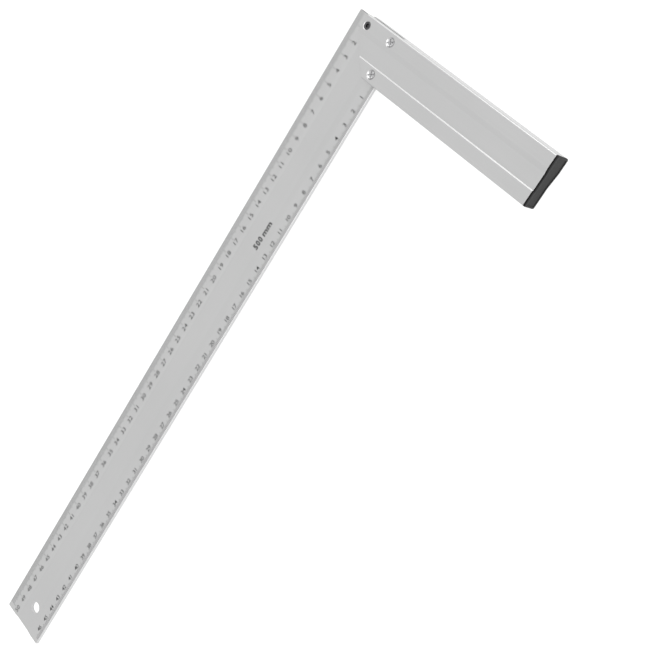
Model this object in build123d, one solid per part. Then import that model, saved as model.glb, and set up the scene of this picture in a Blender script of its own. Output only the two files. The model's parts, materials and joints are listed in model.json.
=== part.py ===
from build123d import *
import os

# A carpenter's try square: a ruled aluminium blade clamped at right angles in a hollow
# aluminium stock, whose free end is closed by a plastic cap.
#
# Millimetres. While it is modelled, the square has its outer corner at the origin:
#   X = 0 is the blade's outer edge, and the stock runs towards -X
#   Y = 0 is the stock's outer face, and the blade runs towards +Y
#   Z = 0 is the lowest plane of the stock's back, and the front faces +Z
# At export everything moves to the centre of its box, with the back on Z = 0.

# ---------------------------------------------------------------- driving dimensions
BLADE_TIP = 504.5          # from the stock's outer face to the blade's far end
BLADE_WIDTH = 40.5
BLADE_THICKNESS = 2.5
BLADE_RECESS = 1.0         # the blade's near end lies this far inside the outer face
CHANNEL_DEPTH = 0.5        # shallow channel along the front of the blade
OUTER_STRIP = 10.0         # flat ruled strip along the outer edge
INNER_STRIP = 9.5          # flat ruled strip along the inner edge
OUTER_SLOPE = 3.0          # width of the channel's slopes
INNER_SLOPE = 4.0
EDGE_BREAK = 0.2           # small chamfer on the blade's long edges
HANG_HOLE_RADIUS = 4.1
HANG_HOLE_X = -22.7
HANG_HOLE_Y = 486.0

STOCK_WIDTH = 33.5
STOCK_NEAR_END = -10.5     # the blade stands out beyond this end
STOCK_FAR_END = -172.5
STOCK_DEPTH = 12.5         # front to back at the outer edge
BACK_STEP = 1.7            # the back's inner band is this much shallower
BACK_BAND = 9.5            # width of the deeper band along the outer edge
BACK_RAMP = 10.0
FRONT_RISE = 4.25          # the front face stands this far above the blade
PANEL_DEPTH = 0.6          # sunk middle band of the front face
PANEL_START = 9.1          # it falls in a gentle ramp from the outer band
PANEL_RAMP = 3.0
PANEL_END = 23.4           # and ends at a 45 degree step up to the inner band
STOCK_ROUND = 1.0          # rounding of the extrusion's four long edges
WALL = 1.8
SIDE_WALL = 1.6
MITRE_START = 12.9         # the 45 degree cut leaves the near end at this height
SLOT_RISE = 1.2            # the blade's slot reaches this far above the blade

SCREW_X = -36.1
SCREW_LOW_Y = 5.9
SCREW_HIGH_Y = 28.3
SCREW_RADIUS = 1.5         # M3
SCREW_CLEARANCE = 1.65
HEAD_RADIUS = 2.6
HEAD_SINK = 0.5            # the top of the heads' cones lies this far below the front face
HEAD_LAND = 0.1            # upright rim above the cone
HEAD_CROWN = 0.4           # raised heads, so that they end level with the face
SCREW_LENGTH = 8.2
RECESS_TURN = 30.0
RECESS_LENGTH = 4.3        # cross recess
RECESS_WIDTH = 0.8
RECESS_DEPTH = 0.8
NUT_SIDE = 5.5
NUT_THICKNESS = 1.8
NUT_CORNER = 0.2
NUT_PLAY = 0.1

SET_SCREW_X = -14.3
SET_SCREW_Y = 6.2
SET_SCREW_RADIUS = 2.5     # M5
SET_SCREW_CLEARANCE = 2.7
SET_SCREW_SINK = 0.3
SET_SCREW_SOCKET = 2.5     # across flats
SET_SCREW_SOCKET_DEPTH = 2.2
DOG_POINT_RADIUS = 1.25
DOG_POINT_LENGTH = 1.1
SET_SCREW_EDGE = 0.25

PACKER_INSET = 0.6         # the packers stop this far behind the mitre

CAP_FLANGE = 1.5
CAP_EDGE = 0.45
CAP_RIM = 1.3              # raised rim around the cap's outer face
CAP_DISH = 0.3
CAP_PLUG_LENGTH = 12.0
CAP_PLUG_WALL = 1.3
CAP_PLUG_LEAD = 0.5

# ---------------------------------------------------------------- derived levels
FRONT_Z = STOCK_DEPTH
BLADE_FRONT_Z = FRONT_Z - FRONT_RISE
BLADE_BACK_Z = BLADE_FRONT_Z - BLADE_THICKNESS
CHANNEL_Z = BLADE_FRONT_Z - CHANNEL_DEPTH
CEILING_Z = FRONT_Z - WALL
STOCK_LENGTH = STOCK_NEAR_END - STOCK_FAR_END
HEAD_Z = FRONT_Z - HEAD_SINK
OVERALL_LENGTH = CAP_FLANGE - STOCK_FAR_END
SCREW_PLACES = [(SCREW_X, SCREW_LOW_Y), (SCREW_X, SCREW_HIGH_Y)]
TO_ORIGIN = Pos(OVERALL_LENGTH / 2, -BLADE_TIP / 2, 0)


# ---------------------------------------------------------------- helpers
def along_stock(points, start, length):
    """Extrude a (Y, Z) outline towards -X from X = start."""
    plane = Plane(origin=(start, 0, 0), x_dir=(0, 1, 0), z_dir=(1, 0, 0))
    face = make_face(plane * Polyline(*points, close=True))
    return extrude(face, -length)


def upright_hole(radius, x, y, low, high):
    """A vertical cylinder between two heights."""
    centre = Pos(x, y, (low + high) / 2)
    return centre * Cylinder(radius, high - low)


def prism(points, low, high):
    """Extrude an (X, Y) outline between two heights."""
    face = make_face(Pos(0, 0, low) * Polyline(*points, close=True))
    return extrude(face, high - low)


def back_outline(floor_rise, side):
    """The back of the stock's section, outer band first, at a given distance inside it."""
    return [
        (side, floor_rise),
        (BACK_BAND, floor_rise),
        (BACK_BAND + BACK_RAMP, BACK_STEP + floor_rise),
        (STOCK_WIDTH - side, BACK_STEP + floor_rise),
    ]


def mitre_corner(inset, low, high):
    """What the 45 degree cut takes off the near end, moved back by an inset."""
    start = MITRE_START - inset
    reach = STOCK_WIDTH - start
    near = STOCK_NEAR_END
    return prism([(near + 1, start - 1), (near + 1, start + reach), (near - reach, start + reach)], low, high)


# ---------------------------------------------------------------- blade
def blade():
    inner = -BLADE_WIDTH
    section = [
        (0, BLADE_BACK_Z),
        (0, BLADE_FRONT_Z),
        (-OUTER_STRIP, BLADE_FRONT_Z),
        (-OUTER_STRIP - OUTER_SLOPE, CHANNEL_Z),
        (inner + INNER_STRIP + INNER_SLOPE, CHANNEL_Z),
        (inner + INNER_STRIP, BLADE_FRONT_Z),
        (inner, BLADE_FRONT_Z),
        (inner, BLADE_BACK_Z),
    ]
    plane = Plane(origin=(0, BLADE_RECESS, 0), x_dir=(1, 0, 0), z_dir=(0, -1, 0))
    bar = extrude(make_face(plane * Polyline(*section, close=True)), -(BLADE_TIP - BLADE_RECESS))
    long_edges = bar.edges().filter_by(Axis.Y)
    rims = long_edges.group_by(Axis.X)[0] + long_edges.group_by(Axis.X)[-1]
    bar = chamfer(rims, EDGE_BREAK)
    for x, y in SCREW_PLACES:
        bar -= upright_hole(SCREW_CLEARANCE, x, y, BLADE_BACK_Z, BLADE_FRONT_Z)
    bar -= upright_hole(HANG_HOLE_RADIUS, HANG_HOLE_X, HANG_HOLE_Y, BLADE_BACK_Z, BLADE_FRONT_Z)
    return bar


# ---------------------------------------------------------------- stock
def stock_outline():
    front = [
        (STOCK_WIDTH, FRONT_Z),
        (PANEL_END + PANEL_DEPTH, FRONT_Z),
        (PANEL_END, FRONT_Z - PANEL_DEPTH),
        (PANEL_START + PANEL_RAMP, FRONT_Z - PANEL_DEPTH),
        (PANEL_START, FRONT_Z),
        (0, FRONT_Z),
    ]
    return back_outline(0, 0) + front


def stock_bar(start, length):
    """The extrusion's outer shape, with its four long edges rounded."""
    bar = along_stock(stock_outline(), start, length)
    long_edges = bar.edges().filter_by(Axis.X)
    sides = long_edges.group_by(Axis.Y)[0] + long_edges.group_by(Axis.Y)[-1]
    return fillet(sides, STOCK_ROUND)


def cavity_outline(inset=0.0):
    """The hollow's section, or one a little smaller."""
    side = SIDE_WALL + inset
    floor = back_outline(WALL + inset, side)
    return floor + [(STOCK_WIDTH - side, CEILING_Z - inset), (side, CEILING_Z - inset)]


def countersink(x, y):
    """A 90 degree countersink at the front face."""
    mouth = HEAD_RADIUS + HEAD_SINK
    depth = mouth - SCREW_RADIUS
    return Pos(x, y, FRONT_Z - depth / 2) * Cone(SCREW_RADIUS, mouth, depth)


def stock_body():
    body = stock_bar(STOCK_NEAR_END, STOCK_LENGTH)
    body -= along_stock(cavity_outline(), STOCK_NEAR_END, STOCK_LENGTH)
    slot_length = BLADE_WIDTH + STOCK_NEAR_END
    slot_height = BLADE_THICKNESS + SLOT_RISE
    slot_centre = Pos(STOCK_NEAR_END - slot_length / 2, STOCK_WIDTH / 2, BLADE_BACK_Z + slot_height / 2)
    body -= slot_centre * Box(slot_length, STOCK_WIDTH, slot_height)
    body -= mitre_corner(0, 0, FRONT_Z)
    for x, y in SCREW_PLACES:
        body -= upright_hole(SCREW_CLEARANCE, x, y, BLADE_FRONT_Z, FRONT_Z)
        body -= countersink(x, y)
    body -= upright_hole(SET_SCREW_RADIUS, SET_SCREW_X, SET_SCREW_Y, BLADE_FRONT_Z, FRONT_Z)
    lip = SET_SCREW_RADIUS + SET_SCREW_SINK
    body -= Pos(SET_SCREW_X, SET_SCREW_Y, FRONT_Z - SET_SCREW_SINK / 2) * Cone(
        SET_SCREW_RADIUS, lip, SET_SCREW_SINK
    )
    return body


# ---------------------------------------------------------------- packers inside the stock
def packer_blank(section):
    """A plate of the hollow's section beside the blade, cut back behind the mitre."""
    near = STOCK_NEAR_END - PACKER_INSET
    blank = along_stock(section, near, BLADE_WIDTH + near)
    return blank - mitre_corner(PACKER_INSET, 0, FRONT_Z)


def front_packer():
    side = SIDE_WALL
    top = STOCK_WIDTH - side
    section = [(side, BLADE_FRONT_Z), (top, BLADE_FRONT_Z), (top, CEILING_Z), (side, CEILING_Z)]
    plate = packer_blank(section)
    for x, y in SCREW_PLACES:
        plate -= upright_hole(SCREW_CLEARANCE, x, y, BLADE_FRONT_Z, CEILING_Z)
    plate -= upright_hole(SET_SCREW_CLEARANCE, SET_SCREW_X, SET_SCREW_Y, BLADE_FRONT_Z, CEILING_Z)
    return plate


def rear_packer():
    side = SIDE_WALL
    section = back_outline(WALL, side) + [(STOCK_WIDTH - side, BLADE_BACK_Z), (side, BLADE_BACK_Z)]
    plate = packer_blank(section)
    window = NUT_SIDE + 2 * NUT_PLAY
    for x, y in SCREW_PLACES:
        plate -= Pos(x, y, BLADE_BACK_Z / 2) * Box(window, window, BLADE_BACK_Z)
    return plate


# ---------------------------------------------------------------- fasteners
def clamp_screw(x, y):
    """Countersunk cross-recess screw, head up, its raised head ending level with the front face."""
    cone_height = HEAD_RADIUS - SCREW_RADIUS
    rim = HEAD_Z + HEAD_LAND
    top = rim + HEAD_CROWN
    cone = Pos(x, y, HEAD_Z - cone_height / 2) * Cone(SCREW_RADIUS, HEAD_RADIUS, cone_height)
    ball_radius = (HEAD_RADIUS**2 + HEAD_CROWN**2) / (2 * HEAD_CROWN)
    ball = Pos(x, y, top - ball_radius) * Sphere(ball_radius)
    crown = ball & upright_hole(HEAD_RADIUS, x, y, HEAD_Z, top)
    shank = upright_hole(SCREW_RADIUS, x, y, HEAD_Z - SCREW_LENGTH, HEAD_Z - cone_height)
    screw = cone + crown + shank
    for turn in (RECESS_TURN, RECESS_TURN + 90):
        arm = Box(RECESS_LENGTH, RECESS_WIDTH, 2 * RECESS_DEPTH)
        screw -= Pos(x, y, top) * Rot(0, 0, turn) * arm
    return screw


def clamp_nut(x, y):
    """Square nut pulled up against the back of the blade."""
    nut = Pos(x, y, BLADE_BACK_Z - NUT_THICKNESS / 2) * Box(NUT_SIDE, NUT_SIDE, NUT_THICKNESS)
    nut = chamfer(nut.edges().filter_by(Axis.Z), NUT_CORNER)
    return nut - upright_hole(SCREW_RADIUS, x, y, BLADE_BACK_Z - NUT_THICKNESS, BLADE_BACK_Z)


def set_screw():
    """Headless hex-socket screw whose dog point presses on the floor of the blade's channel."""
    top = FRONT_Z - SET_SCREW_SINK
    shoulder = CHANNEL_Z + DOG_POINT_LENGTH
    body = upright_hole(SET_SCREW_RADIUS, SET_SCREW_X, SET_SCREW_Y, shoulder, top)
    body = chamfer(body.edges().filter_by(GeomType.CIRCLE), SET_SCREW_EDGE)
    body += upright_hole(DOG_POINT_RADIUS, SET_SCREW_X, SET_SCREW_Y, CHANNEL_Z, shoulder + SET_SCREW_EDGE)
    socket = extrude(RegularPolygon(SET_SCREW_SOCKET / 2, 6, major_radius=False), -SET_SCREW_SOCKET_DEPTH)
    return body - Pos(SET_SCREW_X, SET_SCREW_Y, top) * socket


# ---------------------------------------------------------------- end cap
def end_cap():
    """Plug cap: a rimmed flange as wide as the stock and a hollow plug inside it."""
    outer_x = STOCK_FAR_END - CAP_FLANGE
    flange = stock_bar(STOCK_FAR_END, CAP_FLANGE)
    flange = chamfer(flange.faces().sort_by(Axis.X)[0].edges(), CAP_EDGE)
    rim = cavity_outline(CAP_RIM - SIDE_WALL)
    flange -= along_stock(rim, outer_x + CAP_DISH, CAP_DISH)
    plug = along_stock(cavity_outline(), STOCK_FAR_END + CAP_PLUG_LENGTH, CAP_PLUG_LENGTH)
    plug = chamfer(plug.faces().sort_by(Axis.X)[-1].edges(), CAP_PLUG_LEAD)
    plug -= along_stock(cavity_outline(CAP_PLUG_WALL), STOCK_FAR_END + CAP_PLUG_LENGTH, CAP_PLUG_LENGTH)
    return flange + plug


# ---------------------------------------------------------------- export
NODES = {
    "blade": blade(),
    "stock_body": stock_body(),
    "end_cap": end_cap(),
    "front_packer": front_packer(),
    "rear_packer": rear_packer(),
    "clamp_screws": Compound([clamp_screw(x, y) for x, y in SCREW_PLACES]),
    "clamp_nuts": Compound([clamp_nut(x, y) for x, y in SCREW_PLACES]),
    "set_screw": set_screw(),
}

os.makedirs("parts", exist_ok=True)
for name, shape in NODES.items():
    export_step(TO_ORIGIN * shape, f"parts/{name}.step")
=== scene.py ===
import json
from math import atan, cos, pi, radians, sin, tau

import bmesh
import bpy
from mathutils import Matrix, Vector


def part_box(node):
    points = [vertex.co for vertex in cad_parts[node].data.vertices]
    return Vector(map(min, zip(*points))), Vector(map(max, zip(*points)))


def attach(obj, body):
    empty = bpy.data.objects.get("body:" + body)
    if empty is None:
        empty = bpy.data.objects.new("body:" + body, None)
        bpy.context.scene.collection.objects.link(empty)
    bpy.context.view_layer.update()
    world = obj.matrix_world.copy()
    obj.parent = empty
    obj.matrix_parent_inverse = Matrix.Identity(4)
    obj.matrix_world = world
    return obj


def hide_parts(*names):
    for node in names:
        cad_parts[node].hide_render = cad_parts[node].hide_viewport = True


# A carpenter's try square: ruled aluminium blade, hollow aluminium stock, black plug cap, two
# cross-recess clamp screws and a black hex-socket set screw. The CAD nodes give every shape and
# place. This script gives them their finishes, prints the scales and cuts the screws' threads.

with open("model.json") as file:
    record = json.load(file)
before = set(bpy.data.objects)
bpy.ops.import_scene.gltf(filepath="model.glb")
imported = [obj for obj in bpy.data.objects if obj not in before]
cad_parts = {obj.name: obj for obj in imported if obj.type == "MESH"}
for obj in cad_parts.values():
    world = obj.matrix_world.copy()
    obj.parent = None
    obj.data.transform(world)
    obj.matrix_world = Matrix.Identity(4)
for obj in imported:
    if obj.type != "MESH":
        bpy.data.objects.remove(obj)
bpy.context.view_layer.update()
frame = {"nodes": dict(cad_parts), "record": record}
MM = 0.001

# ---------------------------------------------------------------- places read from the frame
BLADE_LOW, BLADE_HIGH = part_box("blade")
STOCK_LOW, STOCK_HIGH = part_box("stock_body")
SCREWS_LOW, SCREWS_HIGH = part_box("clamp_screws")
SET_LOW, SET_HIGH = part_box("set_screw")
BLADE_FACE = BLADE_HIGH.z

# ---------------------------------------------------------------- camera, floor and light
CAMERA_PLACE = Vector((-0.4180, -0.33455, 0.6310))
CAMERA_AIM = Vector((-0.0158, -0.08435, 0.0083))
CAMERA_ROLL = radians(-83.77)
CAMERA_LENS = 70.3
SENSOR_WIDTH = 36.0
CLIP_NEAR, CLIP_FAR = 0.01, 200.0
BACK_BAND_WIDTH = 9.5 * MM     # the deeper band of the stock's back, which the square lies on
MITRE_START = 12.9 * MM        # height at which the 45 degree cut leaves the stock's near end
FLOOR_HALF = 30.0              # half the floor's side, in metres
FLOOR_TONE = 0.20
FLOOR_GLOW = 0.85
WORLD_LIGHT = 1.20
SOFT_SUNS = [                  # direction that the light comes from, strength, softness
    ((-0.95, 0.05, 0.70), 1.5, radians(60)),
    ((0.10, -0.95, 0.65), 1.5, radians(60)),
    ((0.55, -0.80, 0.35), 0.3, radians(60)),
]

# ---------------------------------------------------------------- printed scales
CHANNEL_DEPTH = 0.5 * MM       # the blade's middle is this much lower than its ruled edges
INK_HEIGHT = 0.03 * MM
INK_SINK = 0.01 * MM
TICK_WIDTH = 0.18 * MM
TICK_EDGE_GAP = 0.35 * MM      # the ticks start behind the blade's broken edge
SCALE_END = 500                # last graduation, in mm from the stock's outer face
OUTER_TICKS = (4.3 * MM, 5.1 * MM, 6.6 * MM)    # millimetres, fives, centimetres
INNER_TICKS = (2.7 * MM, 3.6 * MM, 3.2 * MM)
CAP_SHARE = 0.73               # height of a digit as a share of the font's size
DIGIT_STRETCH = 1.22           # the printed figures are wider than the font's
LENGTH_MARK = "500 mm"
# each row's distance in from the edge, height, pitch of two figures and boldness
OUTER_NUMERALS = (9.0 * MM, 3.3 * MM, 2.75 * MM, -0.01 * MM)
INNER_NUMERALS = (4.8 * MM, 3.1 * MM, 2.30 * MM, 0.01 * MM)
MARK_FROM_EDGE = 25.0 * MM     # the length mark's centre, from the blade's outer edge
MARK_ALONG = 153.8 * MM        # and from the stock's outer face
MARK_HEIGHT = 4.3 * MM
MARK_CELLS = {"5": 3.1 * MM, "0": 3.1 * MM, " ": 1.2 * MM, "m": 5.4 * MM}
MARK_GAP = 0.6 * MM
MARK_BOLD = {"5": 0.24 * MM, "0": 0.24 * MM, "m": 0.17 * MM}    # strokes grow by this all round

# ---------------------------------------------------------------- finishes
BARE_METAL = 0.50
BLADE_TONE, BLADE_FLANK_PAINTED_LIGHT = 0.454, 0.575          # face level, and a side level that paints the sides lighter as painted light
STOCK_TONE, STOCK_FLANK_PAINTED_LIGHT = 0.451, 0.535
ACROSS_LINES, ALONG_LINES = 2600.0, 9.0         # cells per metre across and along the die lines
BLADE_TIP_SHADE, BLADE_FOOT_PAINTED_SHADE = 0.25, 0.06  # levels of the sawn ends; the foot's, inside the stock's slot, is darkened further as painted shade
STOCK_END_SHADE = 0.45
SAW_STROKES = (900.0, 900.0, 150.0)
DRILLED_MARGIN = 0.05 * MM
SCREW_MOUTH = 3.15 * MM        # the countersinks' radius, with a margin
SET_SCREW_MOUTH = 2.85 * MM
CAP_TONE, PACKER_TONE = 0.012, 0.05
RIM_PAINTED_SHADE = 0.3                # share of a moulding's tone and specular level kept on its rims, which are painted darker as painted shade
GLINT = 0.25                   # specular level of the grained plastic
INK_TONES = (0.012, 0.03)
OXIDE_TONES = (0.05, 0.12)


# ================================================================= mesh helpers
BLOCK_FACES = ((0, 1, 2, 3), (4, 5, 6, 7), (0, 1, 5, 4), (1, 2, 6, 5), (2, 3, 7, 6), (3, 0, 4, 7))


def mesh_object(name, mesh, body="root", material=None):
    """Link a finished mesh as a piece that rides on a body."""
    piece = bpy.data.objects.new(name, mesh)
    bpy.context.scene.collection.objects.link(piece)
    if material:
        mesh.materials.append(material)
    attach(piece, body)
    return piece


def mesh_from(bm, name):
    """Turn a bmesh into a mesh with outward normals."""
    bmesh.ops.remove_doubles(bm, verts=bm.verts, dist=1e-7)
    bmesh.ops.recalc_face_normals(bm, faces=bm.faces)
    mesh = bpy.data.meshes.new(name)
    bm.to_mesh(mesh)
    bm.free()
    return mesh


def add_block(bm, low, high):
    """A closed block between two corners."""
    corners = [
        bm.verts.new((x, y, z)) for z in (low[2], high[2])
        for x, y in ((low[0], low[1]), (high[0], low[1]), (high[0], high[1]), (low[0], high[1]))
    ]
    for ring in BLOCK_FACES:
        bm.faces.new([corners[i] for i in ring])


def add_rings(bm, rings):
    """Skin a stack of vertex rings with quads, and close the two ends with fans."""
    made = [[bm.verts.new(point) for point in ring] for ring in rings]
    count = len(made[0])
    for lower, upper in zip(made, made[1:]):
        for i in range(count):
            j = (i + 1) % count
            bm.faces.new((lower[i], lower[j], upper[j], upper[i]))
    for ring in (made[0], made[-1]):
        middle = sum((vert.co for vert in ring), Vector()) / count
        centre = bm.verts.new(middle)
        for i in range(count):
            bm.faces.new((ring[i], ring[(i + 1) % count], centre))


# ================================================================= materials
class Painter:
    """A node material with short calls for the nodes that all the finishes share."""

    def __init__(self, name):
        self.material = bpy.data.materials.new(name)
        self.material.use_nodes = True
        self.tree = self.material.node_tree
        self.shader = self.tree.nodes["Principled BSDF"]
        coordinates = self.node("ShaderNodeTexCoord")
        self.place = coordinates.outputs["Object"]
        self.direction = coordinates.outputs["Normal"]

    def node(self, kind, inputs=None, **settings):
        made = self.tree.nodes.new(kind)
        for key, value in settings.items():
            setattr(made, key, value)
        for key, value in (inputs or {}).items():
            self.put(made.inputs[key], value)
        return made

    def put(self, socket, value):
        if isinstance(value, bpy.types.NodeSocket):
            self.tree.links.new(value, socket)
        else:
            socket.default_value = value

    def noise(self, stretch, detail=2.0, roughness=0.5):
        """Noise from 0 to 1, with so many cells per metre along each axis."""
        mapped = self.node("ShaderNodeMapping", {"Vector": self.place, "Scale": stretch})
        texture = self.node("ShaderNodeTexNoise", {
            "Vector": mapped.outputs["Vector"], "Scale": 1.0,
            "Detail": detail, "Roughness": roughness,
        })
        return texture.outputs["Fac"]

    def ramp(self, value, low, high, to_low, to_high):
        """Map a value from one span to another, clamped."""
        made = self.node("ShaderNodeMapRange", {
            "Value": value, "From Min": low, "From Max": high,
            "To Min": to_low, "To Max": to_high,
        })
        return made.outputs["Result"]

    def maths(self, operation, first, second):
        made = self.node("ShaderNodeMath", {0: first, 1: second}, operation=operation)
        return made.outputs["Value"]

    def vectors(self, operation, first, second):
        return self.node("ShaderNodeVectorMath", {0: first, 1: second}, operation=operation)

    def blend(self, share, first, second):
        made = self.node("ShaderNodeMix", {"Factor": share, 6: first, 7: second}, data_type="RGBA")
        return made.outputs[2]

    def multiply(self, first, second):
        return self.maths("MULTIPLY", first, second)

    def beyond(self, direction, limit):
        """A mask that is 1 past a plane, given by its direction and distance from the origin."""
        along = self.vectors("DOT_PRODUCT", self.place, direction).outputs["Value"]
        return self.ramp(along, limit - 0.08 * MM, limit - 0.04 * MM, 0.0, 1.0)

    def around(self, axis, radius):
        """A mask that is 1 inside an upright cylinder."""
        flat = self.vectors("MULTIPLY", self.place, (1, 1, 0)).outputs["Vector"]
        apart = self.vectors("DISTANCE", flat, (axis.x, axis.y, 0)).outputs["Value"]
        return self.ramp(apart, radius, radius + 0.05 * MM, 1.0, 0.0)

    def edges(self, radius):
        """A mask that is 1 along the convex and concave edges and 0 on flat ground."""
        bevel = self.node("ShaderNodeBevel", {"Radius": radius}, samples=6)
        flat = self.node("ShaderNodeNewGeometry").outputs["Normal"]
        turned = self.vectors("DOT_PRODUCT", bevel.outputs["Normal"], flat).outputs["Value"]
        return self.ramp(turned, 0.99, 0.86, 0.0, 1.0)

    def bump(self, height, depth, strength, round_edges=None):
        """Bump of so many metres, over edges softened by a small radius."""
        made = self.node("ShaderNodeBump", {
            "Height": height, "Distance": depth, "Strength": strength,
        })
        if round_edges:
            bevel = self.node("ShaderNodeBevel", {"Radius": round_edges}, samples=6)
            self.put(made.inputs["Normal"], bevel.outputs["Normal"])
        self.put(self.shader.inputs["Normal"], made.outputs["Normal"])


def grey(level, tint=(1.0, 1.0, 1.0)):
    return (level * tint[0], level * tint[1], level * tint[2], 1.0)


def anodised(name, level, flank_painted_light_level, lines, roughness, sawn_and_shaded_ends=(), drilled=()):
    """Satin anodised aluminium, with die lines along one axis and bright, rubbed edges.

    Sawn ends, given as planes, are bare and rough, each at its own level; the blade foot's very
    dark level is painted shade. Drilled places, given as axes with radii, have bare, bright walls.
    """
    paint = Painter(name)
    drawn = paint.noise(lines, detail=4.0, roughness=0.65)
    cloud = paint.noise((22.0, 22.0, 22.0), detail=3.0)
    grain = paint.noise((7000.0, 7000.0, 7000.0), detail=1.0)
    worn = paint.edges(0.35 * MM)
    lined = paint.ramp(drawn, 0.3, 0.7, 0.0, 0.6)
    tone = paint.maths("ADD", lined, paint.ramp(cloud, 0.3, 0.7, 0.0, 0.4))
    metal = paint.blend(tone, grey(level * 0.965, (0.998, 1.0, 1.0)), grey(level * 1.035))
    upright = paint.node("ShaderNodeSeparateXYZ", {"Vector": paint.direction}).outputs["Z"]
    facing = paint.maths("ABSOLUTE", upright, 0.0)
    # The side faces, away from Z, are painted to their own lighter level as painted light.
    painted_flank_light = paint.ramp(facing, 0.1, 0.4, 1.0, 0.0)
    metal = paint.blend(painted_flank_light, metal, grey(flank_painted_light_level))
    colour = paint.blend(worn, metal, grey(level * 1.02))
    matt = paint.ramp(drawn, 0.25, 0.75, roughness - 0.06, roughness + 0.05)
    matt = paint.maths("SUBTRACT", matt, paint.multiply(worn, 0.14))
    relief = paint.maths("ADD", drawn, paint.multiply(grain, 0.5))
    strokes = paint.noise(SAW_STROKES, detail=3.0)
    # A sawn end's tone replaces the anodised colour; the blade foot's very dark level is painted
    # shade.
    for direction, limit, shade in sawn_and_shaded_ends:
        cut = paint.beyond(direction, limit)
        sawn_end_tone = paint.blend(strokes, grey(shade * 0.7), grey(shade * 1.3))
        colour = paint.blend(cut, colour, sawn_end_tone)
        matt = paint.maths("ADD", matt, paint.multiply(cut, 0.08))
        relief = paint.maths("ADD", relief, paint.multiply(cut, paint.multiply(strokes, 3.0)))
    for axis, radius in drilled:
        wall = paint.multiply(paint.around(axis, radius), paint.ramp(facing, 0.90, 0.97, 1.0, 0.0))
        colour = paint.blend(wall, colour, grey(BARE_METAL))
        matt = paint.maths("SUBTRACT", matt, paint.multiply(wall, 0.12))
    paint.put(paint.shader.inputs["Base Color"], colour)
    paint.put(paint.shader.inputs["Roughness"], matt)
    paint.shader.inputs["Metallic"].default_value = 1.0
    paint.bump(relief, 0.01 * MM, 0.35, round_edges=0.2 * MM)
    return paint.material


def moulded(name, level, grain_cells, shine):
    """Black moulded plastic: fine spark-eroded grain, faint flow marks and greyed edges.

    The faces along X, such as the cap's end, keep the full tone; the rims around them are painted
    darker, with less specular, as painted shade.
    """
    paint = Painter(name)
    grain = paint.noise((grain_cells,) * 3, detail=3.0, roughness=0.6)
    flow = paint.noise((60.0, 90.0, 240.0), detail=2.0)
    rubbed = paint.edges(0.3 * MM)
    # Faces along X keep the full tone; the rims around them are painted darker as painted shade.
    along = paint.node("ShaderNodeSeparateXYZ", {"Vector": paint.direction}).outputs["X"]
    painted_facing_light = paint.ramp(paint.maths("ABSOLUTE", along, 0.0), 0.5, 0.8, 0.0, 1.0)
    body = paint.blend(paint.ramp(flow, 0.3, 0.7, 0.0, 1.0), grey(level * 0.85), grey(level * 1.2))
    body = paint.blend(rubbed, body, grey(level * 2.2))
    colour = paint.blend(painted_facing_light, grey(level * RIM_PAINTED_SHADE), body)
    matt = paint.ramp(grain, 0.3, 0.7, shine - 0.08, shine + 0.1)
    matt = paint.maths("SUBTRACT", matt, paint.multiply(rubbed, 0.12))
    glint = paint.ramp(painted_facing_light, 0.0, 1.0, GLINT * RIM_PAINTED_SHADE, GLINT)
    paint.put(paint.shader.inputs["Base Color"], colour)
    paint.put(paint.shader.inputs["Roughness"], matt)
    paint.put(paint.shader.inputs["Specular IOR Level"], glint)
    paint.shader.inputs["IOR"].default_value = 1.5
    paint.bump(grain, 0.03 * MM, 0.5, round_edges=0.2 * MM)
    return paint.material


def plated(name, level, tint, roughness):
    """Bright zinc plate over turned steel."""
    paint = Painter(name)
    turned = paint.noise((500.0, 500.0, 9000.0), detail=2.0)
    bloom = paint.noise((700.0,) * 3, detail=3.0)
    worn = paint.edges(0.15 * MM)
    share = paint.ramp(bloom, 0.35, 0.65, 0.0, 1.0)
    plate = paint.blend(share, grey(level * 0.9, tint), grey(level, tint))
    colour = paint.blend(worn, plate, grey(level * 1.12))
    matt = paint.ramp(bloom, 0.3, 0.7, roughness - 0.05, roughness + 0.08)
    paint.put(paint.shader.inputs["Base Color"], colour)
    paint.put(paint.shader.inputs["Roughness"], matt)
    paint.shader.inputs["Metallic"].default_value = 1.0
    paint.bump(paint.maths("ADD", turned, bloom), 0.008 * MM, 0.4, round_edges=0.08 * MM)
    return paint.material


def black_oxide(name):
    """Blackened steel, with bare metal showing through on the socket's and thread's edges."""
    paint = Painter(name)
    patchy = paint.noise((1800.0,) * 3, detail=3.0)
    worn = paint.edges(0.12 * MM)
    skin = paint.blend(patchy, grey(OXIDE_TONES[0]), grey(OXIDE_TONES[1], (1.0, 1.0, 1.05)))
    share = paint.multiply(worn, 0.35)
    paint.put(paint.shader.inputs["Base Color"], paint.blend(share, skin, grey(0.35)))
    paint.put(paint.shader.inputs["Roughness"], paint.ramp(patchy, 0.3, 0.7, 0.3, 0.48))
    paint.shader.inputs["Metallic"].default_value = 1.0
    paint.bump(patchy, 0.01 * MM, 0.4, round_edges=0.06 * MM)
    return paint.material


def printed_ink(name):
    """Thin matt black print, a little uneven where it sits on the drawn metal."""
    paint = Painter(name)
    cover = paint.noise((1500.0, 1500.0, 1500.0), detail=3.0)
    share = paint.ramp(cover, 0.3, 0.7, 0.0, 1.0)
    colour = paint.blend(share, grey(INK_TONES[0]), grey(INK_TONES[1]))
    paint.put(paint.shader.inputs["Base Color"], colour)
    paint.put(paint.shader.inputs["Roughness"], paint.ramp(cover, 0.3, 0.7, 0.5, 0.7))
    paint.bump(cover, 0.005 * MM, 0.3)
    return paint.material


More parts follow.
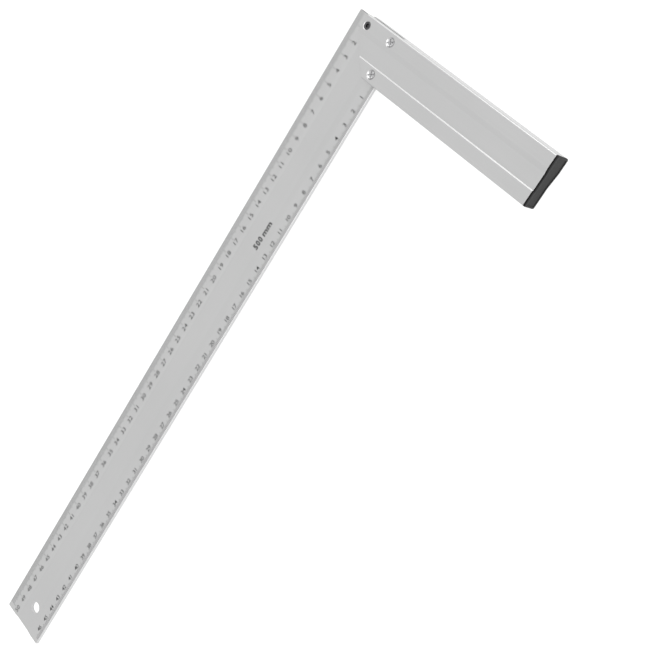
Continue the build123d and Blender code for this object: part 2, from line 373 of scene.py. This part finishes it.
def pale_floor(name):
    """White acrylic, softly lit from below so that it stays white beside the object."""
    paint = Painter(name)
    cloud = paint.noise((3.0, 3.0, 3.0), detail=2.0)
    colour = paint.blend(cloud, grey(FLOOR_TONE), grey(FLOOR_TONE * 1.1))
    paint.put(paint.shader.inputs["Base Color"], colour)
    paint.shader.inputs["Emission Color"].default_value = (1, 1, 1, 1)
    paint.shader.inputs["Emission Strength"].default_value = FLOOR_GLOW
    paint.shader.inputs["Roughness"].default_value = 0.9
    paint.shader.inputs["Specular IOR Level"].default_value = 0.1
    return paint.material


def finish_node(name, material):
    """Give a CAD node its material."""
    slots = frame["nodes"][name].data.materials
    slots.clear()
    slots.append(material)


# ================================================================= printed scales
def ink_layer():
    return BLADE_FACE - INK_SINK, BLADE_FACE + INK_HEIGHT


def tick_length(millimetre, short, middle, long):
    if millimetre % 10 == 0:
        return long
    return middle if millimetre % 5 == 0 else short


def ticks(name, edge, inward, zero, last, lengths, ink):
    """One row of millimetre graduations, from a long edge of the blade inwards."""
    bm = bmesh.new()
    low_z, high_z = ink_layer()
    for millimetre in range(1, last + 1):
        start = edge + inward * TICK_EDGE_GAP
        stop = edge + inward * tick_length(millimetre, *lengths)
        y = zero + millimetre * MM
        low = (min(start, stop), y - TICK_WIDTH / 2, low_z)
        high = (max(start, stop), y + TICK_WIDTH / 2, high_z)
        add_block(bm, low, high)
    return mesh_object(name, mesh_from(bm, name), material=ink)


def glyph(character, height, bold, stretch=None, width=None):
    """A closed mesh of one character, its left edge at 0, widened by a share or to a width."""
    curve = bpy.data.curves.new("glyph", "FONT")
    curve.body = character
    curve.size = height / CAP_SHARE
    curve.offset = bold
    curve.extrude = (INK_HEIGHT + INK_SINK) / 2
    curve.resolution_u = 4
    holder = bpy.data.objects.new("glyph", curve)
    bpy.context.scene.collection.objects.link(holder)
    bpy.context.view_layer.update()
    graph = bpy.context.evaluated_depsgraph_get()
    mesh = bpy.data.meshes.new_from_object(holder.evaluated_get(graph))
    bpy.data.objects.remove(holder)
    bpy.data.curves.remove(curve)
    left = min(vert.co.x for vert in mesh.vertices)
    right = max(vert.co.x for vert in mesh.vertices)
    stretch = stretch or width / (right - left)
    widen = Matrix.Scale(stretch, 4, (1, 0, 0))
    mesh.transform(widen @ Matrix.Translation((-left, -height / 2, 0)))
    return mesh, (right - left) * stretch


def add_glyph(bm, figure, along, centre):
    """Add one glyph, centred so far along a line of text that reads towards the stock."""
    mesh, width = figure
    copy = mesh.copy()
    shift = Matrix.Translation((along - width / 2, 0, 0))
    copy.transform(Matrix.Translation(centre) @ Matrix.Rotation(-pi / 2, 4, "Z") @ shift)
    bm.from_mesh(copy)
    bpy.data.meshes.remove(copy)


def ink_centre(x, y):
    low_z, high_z = ink_layer()
    return Vector((x, y, (low_z + high_z) / 2))


def numerals(name, edge, inward, zero, last, row, ink):
    """One row of centimetre numerals, each centred on its graduation."""
    from_edge, height, pitch, bold = row
    bm = bmesh.new()
    figures = {
        figure: glyph(figure, height, bold, stretch=DIGIT_STRETCH) for figure in "0123456789"
    }
    for centimetre in range(1, last + 1):
        label = str(centimetre)
        centre = ink_centre(edge + inward * from_edge, zero + centimetre * 10 * MM)
        for place, figure in enumerate(label):
            add_glyph(bm, figures[figure], (place - (len(label) - 1) / 2) * pitch, centre)
    return mesh_object(name, mesh_from(bm, name), material=ink)


def length_mark(name, centre, ink):
    """The scale's length, printed along the middle of the blade."""
    bm = bmesh.new()
    along = -sum(MARK_CELLS[character] for character in LENGTH_MARK) / 2
    for character in LENGTH_MARK:
        cell = MARK_CELLS[character]
        if character != " ":
            figure = glyph(character, MARK_HEIGHT, MARK_BOLD[character], width=cell - MARK_GAP)
            add_glyph(bm, figure, along + cell / 2, centre)
        along += cell
    return mesh_object(name, mesh_from(bm, name), material=ink)


def print_scales(ink):
    outer, inner = BLADE_HIGH.x, BLADE_LOW.x
    outer_zero, inner_zero = STOCK_LOW.y, STOCK_HIGH.y
    inner_last = SCALE_END - round((inner_zero - outer_zero) / MM)
    outer_row = (outer, -1, outer_zero)
    inner_row = (inner, 1, inner_zero)
    ticks("outer_scale_ticks", *outer_row, SCALE_END, OUTER_TICKS, ink)
    ticks("inner_scale_ticks", *inner_row, inner_last, INNER_TICKS, ink)
    numerals("outer_scale_numerals", *outer_row, SCALE_END // 10, OUTER_NUMERALS, ink)
    numerals("inner_scale_numerals", *inner_row, inner_last // 10, INNER_NUMERALS, ink)
    centre = ink_centre(outer - MARK_FROM_EDGE, outer_zero + MARK_ALONG)
    length_mark("length_mark", centre - Vector((0, 0, CHANNEL_DEPTH)), ink)


# ================================================================= screws
HEAD_RADIUS = 2.6 * MM
HEAD_LAND = 0.5 * MM           # upright rim above the head's cone
HEAD_CONE = 1.1 * MM
DISH_RADIUS = 2.45 * MM
DISH_FLOOR = 2.0 * MM          # radius of the dish's floor
DISH_DEPTH = 0.45 * MM
DISH_CROWN = 0.15 * MM
DISH_STEPS = (0.0, 0.15, 0.4, 0.7, 1.0)     # rings from the dish's wall to the cross
LIP = 0.04 * MM
RIM_ROUND = 0.05 * MM
CROSS_MOUTH = (2.25 * MM, 0.42 * MM)        # half length and half width of the cross recess
CROSS_STEPS = (                # and the same further down, with the depth, in mm
    (2.0, 0.34, 0.42),
    (1.10, 0.30, 0.60),
    (0.45, 0.20, 1.00),
)
CROSS_TURN = radians(30)
M3_RADIUS = 1.5 * MM
M3_PITCH = 0.5 * MM
M3_THREAD_DEPTH = 0.27 * MM
M5_RADIUS = 2.5 * MM
M5_PITCH = 0.8 * MM
M5_THREAD_DEPTH = 0.43 * MM
DOG_RADIUS = 1.25 * MM
DOG_LENGTH = 1.1 * MM
DOG_BREAK = 0.1 * MM
SET_SCREW_STEPS = 72
SOCKET = 2.5 * MM              # across flats


def thread_ring(radius, depth, pitch, z, bottom, top, angles):
    """One level of a threaded shank: the groove winds round and runs out at the ends."""
    fade = max(0.0, min(1.0, (z - bottom) / pitch, (top - z) / pitch))
    ring = []
    for angle in angles:
        turn = (z / pitch - angle / tau) % 1.0
        groove = 1.0 - abs(2.0 * turn - 1.0)
        reach = radius - depth * fade * groove
        ring.append(Vector((reach * cos(angle), reach * sin(angle), z)))
    return ring


def thread_rings(radius, depth, pitch, bottom, top, angles):
    steps = round((top - bottom) / (pitch / 6))
    levels = [bottom + (top - bottom) * i / steps for i in range(steps + 1)]
    return [thread_ring(radius, depth, pitch, z, bottom, top, angles) for z in levels]


def circle(radius, z, angles):
    return [Vector((radius * cos(angle), radius * sin(angle), z)) for angle in angles]


def cross_angles(half_length, half_width):
    """Directions that catch every corner of a cross, a quarter turn at a time."""
    corner = atan(half_width / half_length)
    eighth = [corner * i / 3 for i in range(3)]
    eighth += [corner + (pi / 4 - corner) * i / 5 for i in range(5)]
    quarter = eighth + [pi / 4] + [pi / 2 - angle for angle in reversed(eighth[1:])]
    return [quarter_turn * pi / 2 + angle for quarter_turn in range(4) for angle in quarter]


def cross_ring(half_length, half_width, z, angles):
    """Outline of a cross, from the two bars that make it."""
    ring = []
    for angle in angles:
        across, along = abs(sin(angle)) + 1e-9, abs(cos(angle)) + 1e-9
        first = min(half_length / along, half_width / across)
        second = min(half_length / across, half_width / along)
        reach = max(first, second)
        ring.append(Vector((reach * cos(angle), reach * sin(angle), z)))
    return ring


def dish_point(point, top, floor):
    """Drop a point onto the dish: a sloping wall around a floor that is higher in the middle."""
    reach = Vector((point.x, point.y)).length
    if reach > DISH_FLOOR:
        z = floor + (top - floor) * (reach - DISH_FLOOR) / (DISH_RADIUS - DISH_FLOOR)
    else:
        z = floor + DISH_CROWN * (1 - (reach / DISH_FLOOR) ** 2)
    return Vector((point.x, point.y, min(z, top)))


def dish_rings(top, floor, angles):
    """Rings from the top of the dish's wall in to the cross recess's mouth."""
    half_length, half_width = CROSS_MOUTH
    lip = cross_ring(half_length + LIP, half_width + LIP, 0, angles)
    wall = circle(DISH_RADIUS, top - 0.02 * MM, angles)
    rings = []
    for share in DISH_STEPS:
        between = [one.lerp(other, share) for one, other in zip(wall, lip)]
        rings.append([dish_point(point, top, floor) for point in between])
    drop = Vector((0, 0, RIM_ROUND))
    mouth = cross_ring(half_length, half_width, 0, angles)
    return rings + [[dish_point(point, top, floor) - drop for point in mouth]]


def clamp_screw_mesh(name, bottom, top):
    """Cross-recess screw with a dished countersunk head and a rolled thread, its axis on Z."""
    bm = bmesh.new()
    angles = cross_angles(*CROSS_MOUTH)
    shoulder, floor = top - HEAD_LAND, top - DISH_DEPTH
    thread_low, thread_high = bottom + 0.3 * MM, shoulder - HEAD_CONE
    rings = [circle(M3_RADIUS - 0.35 * MM, bottom, angles)]
    rings += thread_rings(M3_RADIUS, M3_THREAD_DEPTH, M3_PITCH, thread_low, thread_high, angles)
    rings += [
        circle(HEAD_RADIUS, shoulder, angles),
        circle(HEAD_RADIUS, top - RIM_ROUND, angles),
        circle(HEAD_RADIUS - RIM_ROUND, top, angles),
        circle(DISH_RADIUS + 0.02 * MM, top, angles),
    ]
    rings += dish_rings(top, floor, angles)
    for half_length, half_width, depth in CROSS_STEPS:
        rings.append(cross_ring(half_length * MM, half_width * MM, floor - depth * MM, angles))
    add_rings(bm, rings)
    return mesh_from(bm, name)


def hexagon_ring(across_flats, z, angles):
    ring = []
    for angle in angles:
        within = (angle % (pi / 3)) - pi / 6
        reach = across_flats / 2 / cos(within)
        ring.append(Vector((reach * cos(angle), reach * sin(angle), z)))
    return ring


def set_screw_mesh(name, bottom, top):
    """Headless hex-socket screw with a dog point, its axis on Z."""
    bm = bmesh.new()
    angles = [tau * i / SET_SCREW_STEPS for i in range(SET_SCREW_STEPS)]
    shoulder = bottom + DOG_LENGTH
    thread_low, thread_high = shoulder + 0.4 * MM, top - 0.35 * MM
    rings = [
        circle(DOG_RADIUS - DOG_BREAK, bottom, angles),
        circle(DOG_RADIUS, bottom + DOG_BREAK, angles),
        circle(DOG_RADIUS, shoulder, angles),
        circle(M5_RADIUS - 0.45 * MM, shoulder + 0.05 * MM, angles),
    ]
    rings += thread_rings(M5_RADIUS, M5_THREAD_DEPTH, M5_PITCH, thread_low, thread_high, angles)
    rings += [
        circle(M5_RADIUS - 0.4 * MM, top - 0.02 * MM, angles),
        circle(M5_RADIUS - 0.5 * MM, top, angles),
        circle(SOCKET / 2 + 0.35 * MM, top, angles),
        hexagon_ring(SOCKET + 0.1 * MM, top - 0.2 * MM, angles),
        hexagon_ring(SOCKET, top - 0.3 * MM, angles),
        hexagon_ring(SOCKET, top - 2.0 * MM, angles),
        circle(0.5 * MM, top - 2.4 * MM, angles),
    ]
    add_rings(bm, rings)
    return mesh_from(bm, name)


def smooth_by_angle(mesh, limit):
    """Smooth shading, with the edges over a limit kept sharp."""
    for face in mesh.polygons:
        face.use_smooth = True
    mesh.set_sharp_from_angle(angle=limit)


def screw_axes():
    """The two clamp screws' axes and the set screw's, from the CAD nodes' boxes."""
    radius = (SCREWS_HIGH.x - SCREWS_LOW.x) / 2
    middle_x = (SCREWS_LOW.x + SCREWS_HIGH.x) / 2
    outer = Vector((middle_x, SCREWS_LOW.y + radius, 0))
    inner = Vector((middle_x, SCREWS_HIGH.y - radius, 0))
    set_middle = (SET_LOW + SET_HIGH) / 2
    return outer, inner, Vector((set_middle.x, set_middle.y, 0))


def place_screws(zinc, black):
    """Threaded screws in place of the plain CAD ones, on the same axes."""
    outer, inner, set_axis = screw_axes()
    mesh = clamp_screw_mesh("clamp_screw", SCREWS_LOW.z, SCREWS_HIGH.z)
    smooth_by_angle(mesh, radians(35))
    mesh.transform(Matrix.Rotation(CROSS_TURN, 4, "Z"))
    for name, axis in (("clamp_screw_outer", outer), ("clamp_screw_inner", inner)):
        copy = mesh.copy()
        copy.transform(Matrix.Translation(axis))
        piece = mesh_object(name, copy, material=zinc)
        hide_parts("clamp_screws")
    mesh = set_screw_mesh("set_screw_threaded", SET_LOW.z, SET_HIGH.z)
    smooth_by_angle(mesh, radians(35))
    mesh.transform(Matrix.Translation(set_axis))
    piece = mesh_object("set_screw_threaded", mesh, material=black)
    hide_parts("set_screw")


# ================================================================= studio
def make_camera():
    data = bpy.data.cameras.new("camera")
    data.lens = CAMERA_LENS
    data.sensor_width = SENSOR_WIDTH
    data.clip_start, data.clip_end = CLIP_NEAR, CLIP_FAR
    camera = bpy.data.objects.new("camera", data)
    upright = (CAMERA_AIM - CAMERA_PLACE).to_track_quat("-Z", "Y").to_matrix().to_4x4()
    roll = Matrix.Rotation(CAMERA_ROLL, 4, "Z")
    camera.matrix_world = Matrix.Translation(CAMERA_PLACE) @ upright @ roll
    bpy.context.scene.collection.objects.link(camera)
    bpy.context.scene.camera = camera


def make_floor():
    """A wide floor, tilted so that the stock's back and the blade's far end both rest on it."""
    rest_y = STOCK_LOW.y + BACK_BAND_WIDTH
    slope = (BLADE_LOW.z - STOCK_LOW.z) / (BLADE_HIGH.y - rest_y)
    bm = bmesh.new()
    corners = [(FLOOR_HALF * x, FLOOR_HALF * y) for x, y in ((-1, -1), (1, -1), (1, 1), (-1, 1))]
    bm.faces.new([bm.verts.new((x, y, (y - rest_y) * slope)) for x, y in corners])
    mesh = bpy.data.meshes.new("floor")
    bm.to_mesh(mesh)
    bm.free()
    mesh.materials.append(pale_floor("pale_floor"))
    floor = bpy.data.objects.new("floor", mesh)
    bpy.context.scene.collection.objects.link(floor)


def make_light():
    world = bpy.data.worlds.new("studio")
    bpy.context.scene.world = world
    world.use_nodes = True
    world.node_tree.nodes["Background"].inputs["Color"].default_value = (1, 1, 1, 1)
    world.node_tree.nodes["Background"].inputs["Strength"].default_value = WORLD_LIGHT
    for index, (source, strength, softness) in enumerate(SOFT_SUNS):
        data = bpy.data.lights.new(f"soft_sun_{index}", "SUN")
        data.energy = strength
        data.angle = softness
        sun = bpy.data.objects.new(f"soft_sun_{index}", data)
        sun.rotation_mode = "QUATERNION"
        sun.rotation_quaternion = (-Vector(source)).to_track_quat("-Z", "Y")
        bpy.context.scene.collection.objects.link(sun)
    bpy.context.scene.view_settings.view_transform = "Standard"


def blade_finish():
    ends = [
        ((0, 1, 0), BLADE_HIGH.y, BLADE_TIP_SHADE),
        # The foot, inside the stock's slot, is darkened as painted shade.
        ((0, -1, 0), -BLADE_LOW.y, BLADE_FOOT_PAINTED_SHADE),
    ]
    mounts = frame["record"]["mounts"]
    hole = next(mount for mount in mounts if mount["name"] == "hanging_hole")
    drilled = [(Vector(hole["pos_m"]), hole["dims"]["r_mm"] * MM + DRILLED_MARGIN)]
    lines = (ACROSS_LINES, ALONG_LINES, ACROSS_LINES)
    return anodised("anodised_blade", BLADE_TONE, BLADE_FLANK_PAINTED_LIGHT, lines, 0.44, ends, drilled)


def stock_finish():
    mitre_foot = STOCK_HIGH.x + STOCK_LOW.y + MITRE_START
    ends = [
        ((1, 0, 0), STOCK_HIGH.x, STOCK_END_SHADE),
        ((1, 1, 0), mitre_foot, STOCK_END_SHADE),
    ]
    outer, inner, set_axis = screw_axes()
    holes = [(outer, SCREW_MOUTH), (inner, SCREW_MOUTH), (set_axis, SET_SCREW_MOUTH)]
    lines = (ALONG_LINES, ACROSS_LINES, ACROSS_LINES)
    return anodised("anodised_stock", STOCK_TONE, STOCK_FLANK_PAINTED_LIGHT, lines, 0.40, ends, holes)


def finish_nodes():
    finish_node("blade", blade_finish())
    finish_node("stock_body", stock_finish())
    finish_node("end_cap", moulded("moulded_cap", CAP_TONE, 3500.0, 0.5))
    packer = moulded("moulded_packer", PACKER_TONE, 2500.0, 0.58)
    finish_node("front_packer", packer)
    finish_node("rear_packer", packer)
    finish_node("clamp_nuts", plated("plated_nut", 0.5, (1.0, 1.0, 0.97), 0.36))


make_camera()
make_floor()
make_light()
finish_nodes()
print_scales(printed_ink("printed_ink"))
place_screws(plated("plated_screw", 0.47, (1.0, 1.0, 1.01), 0.22), black_oxide("black_oxide"))
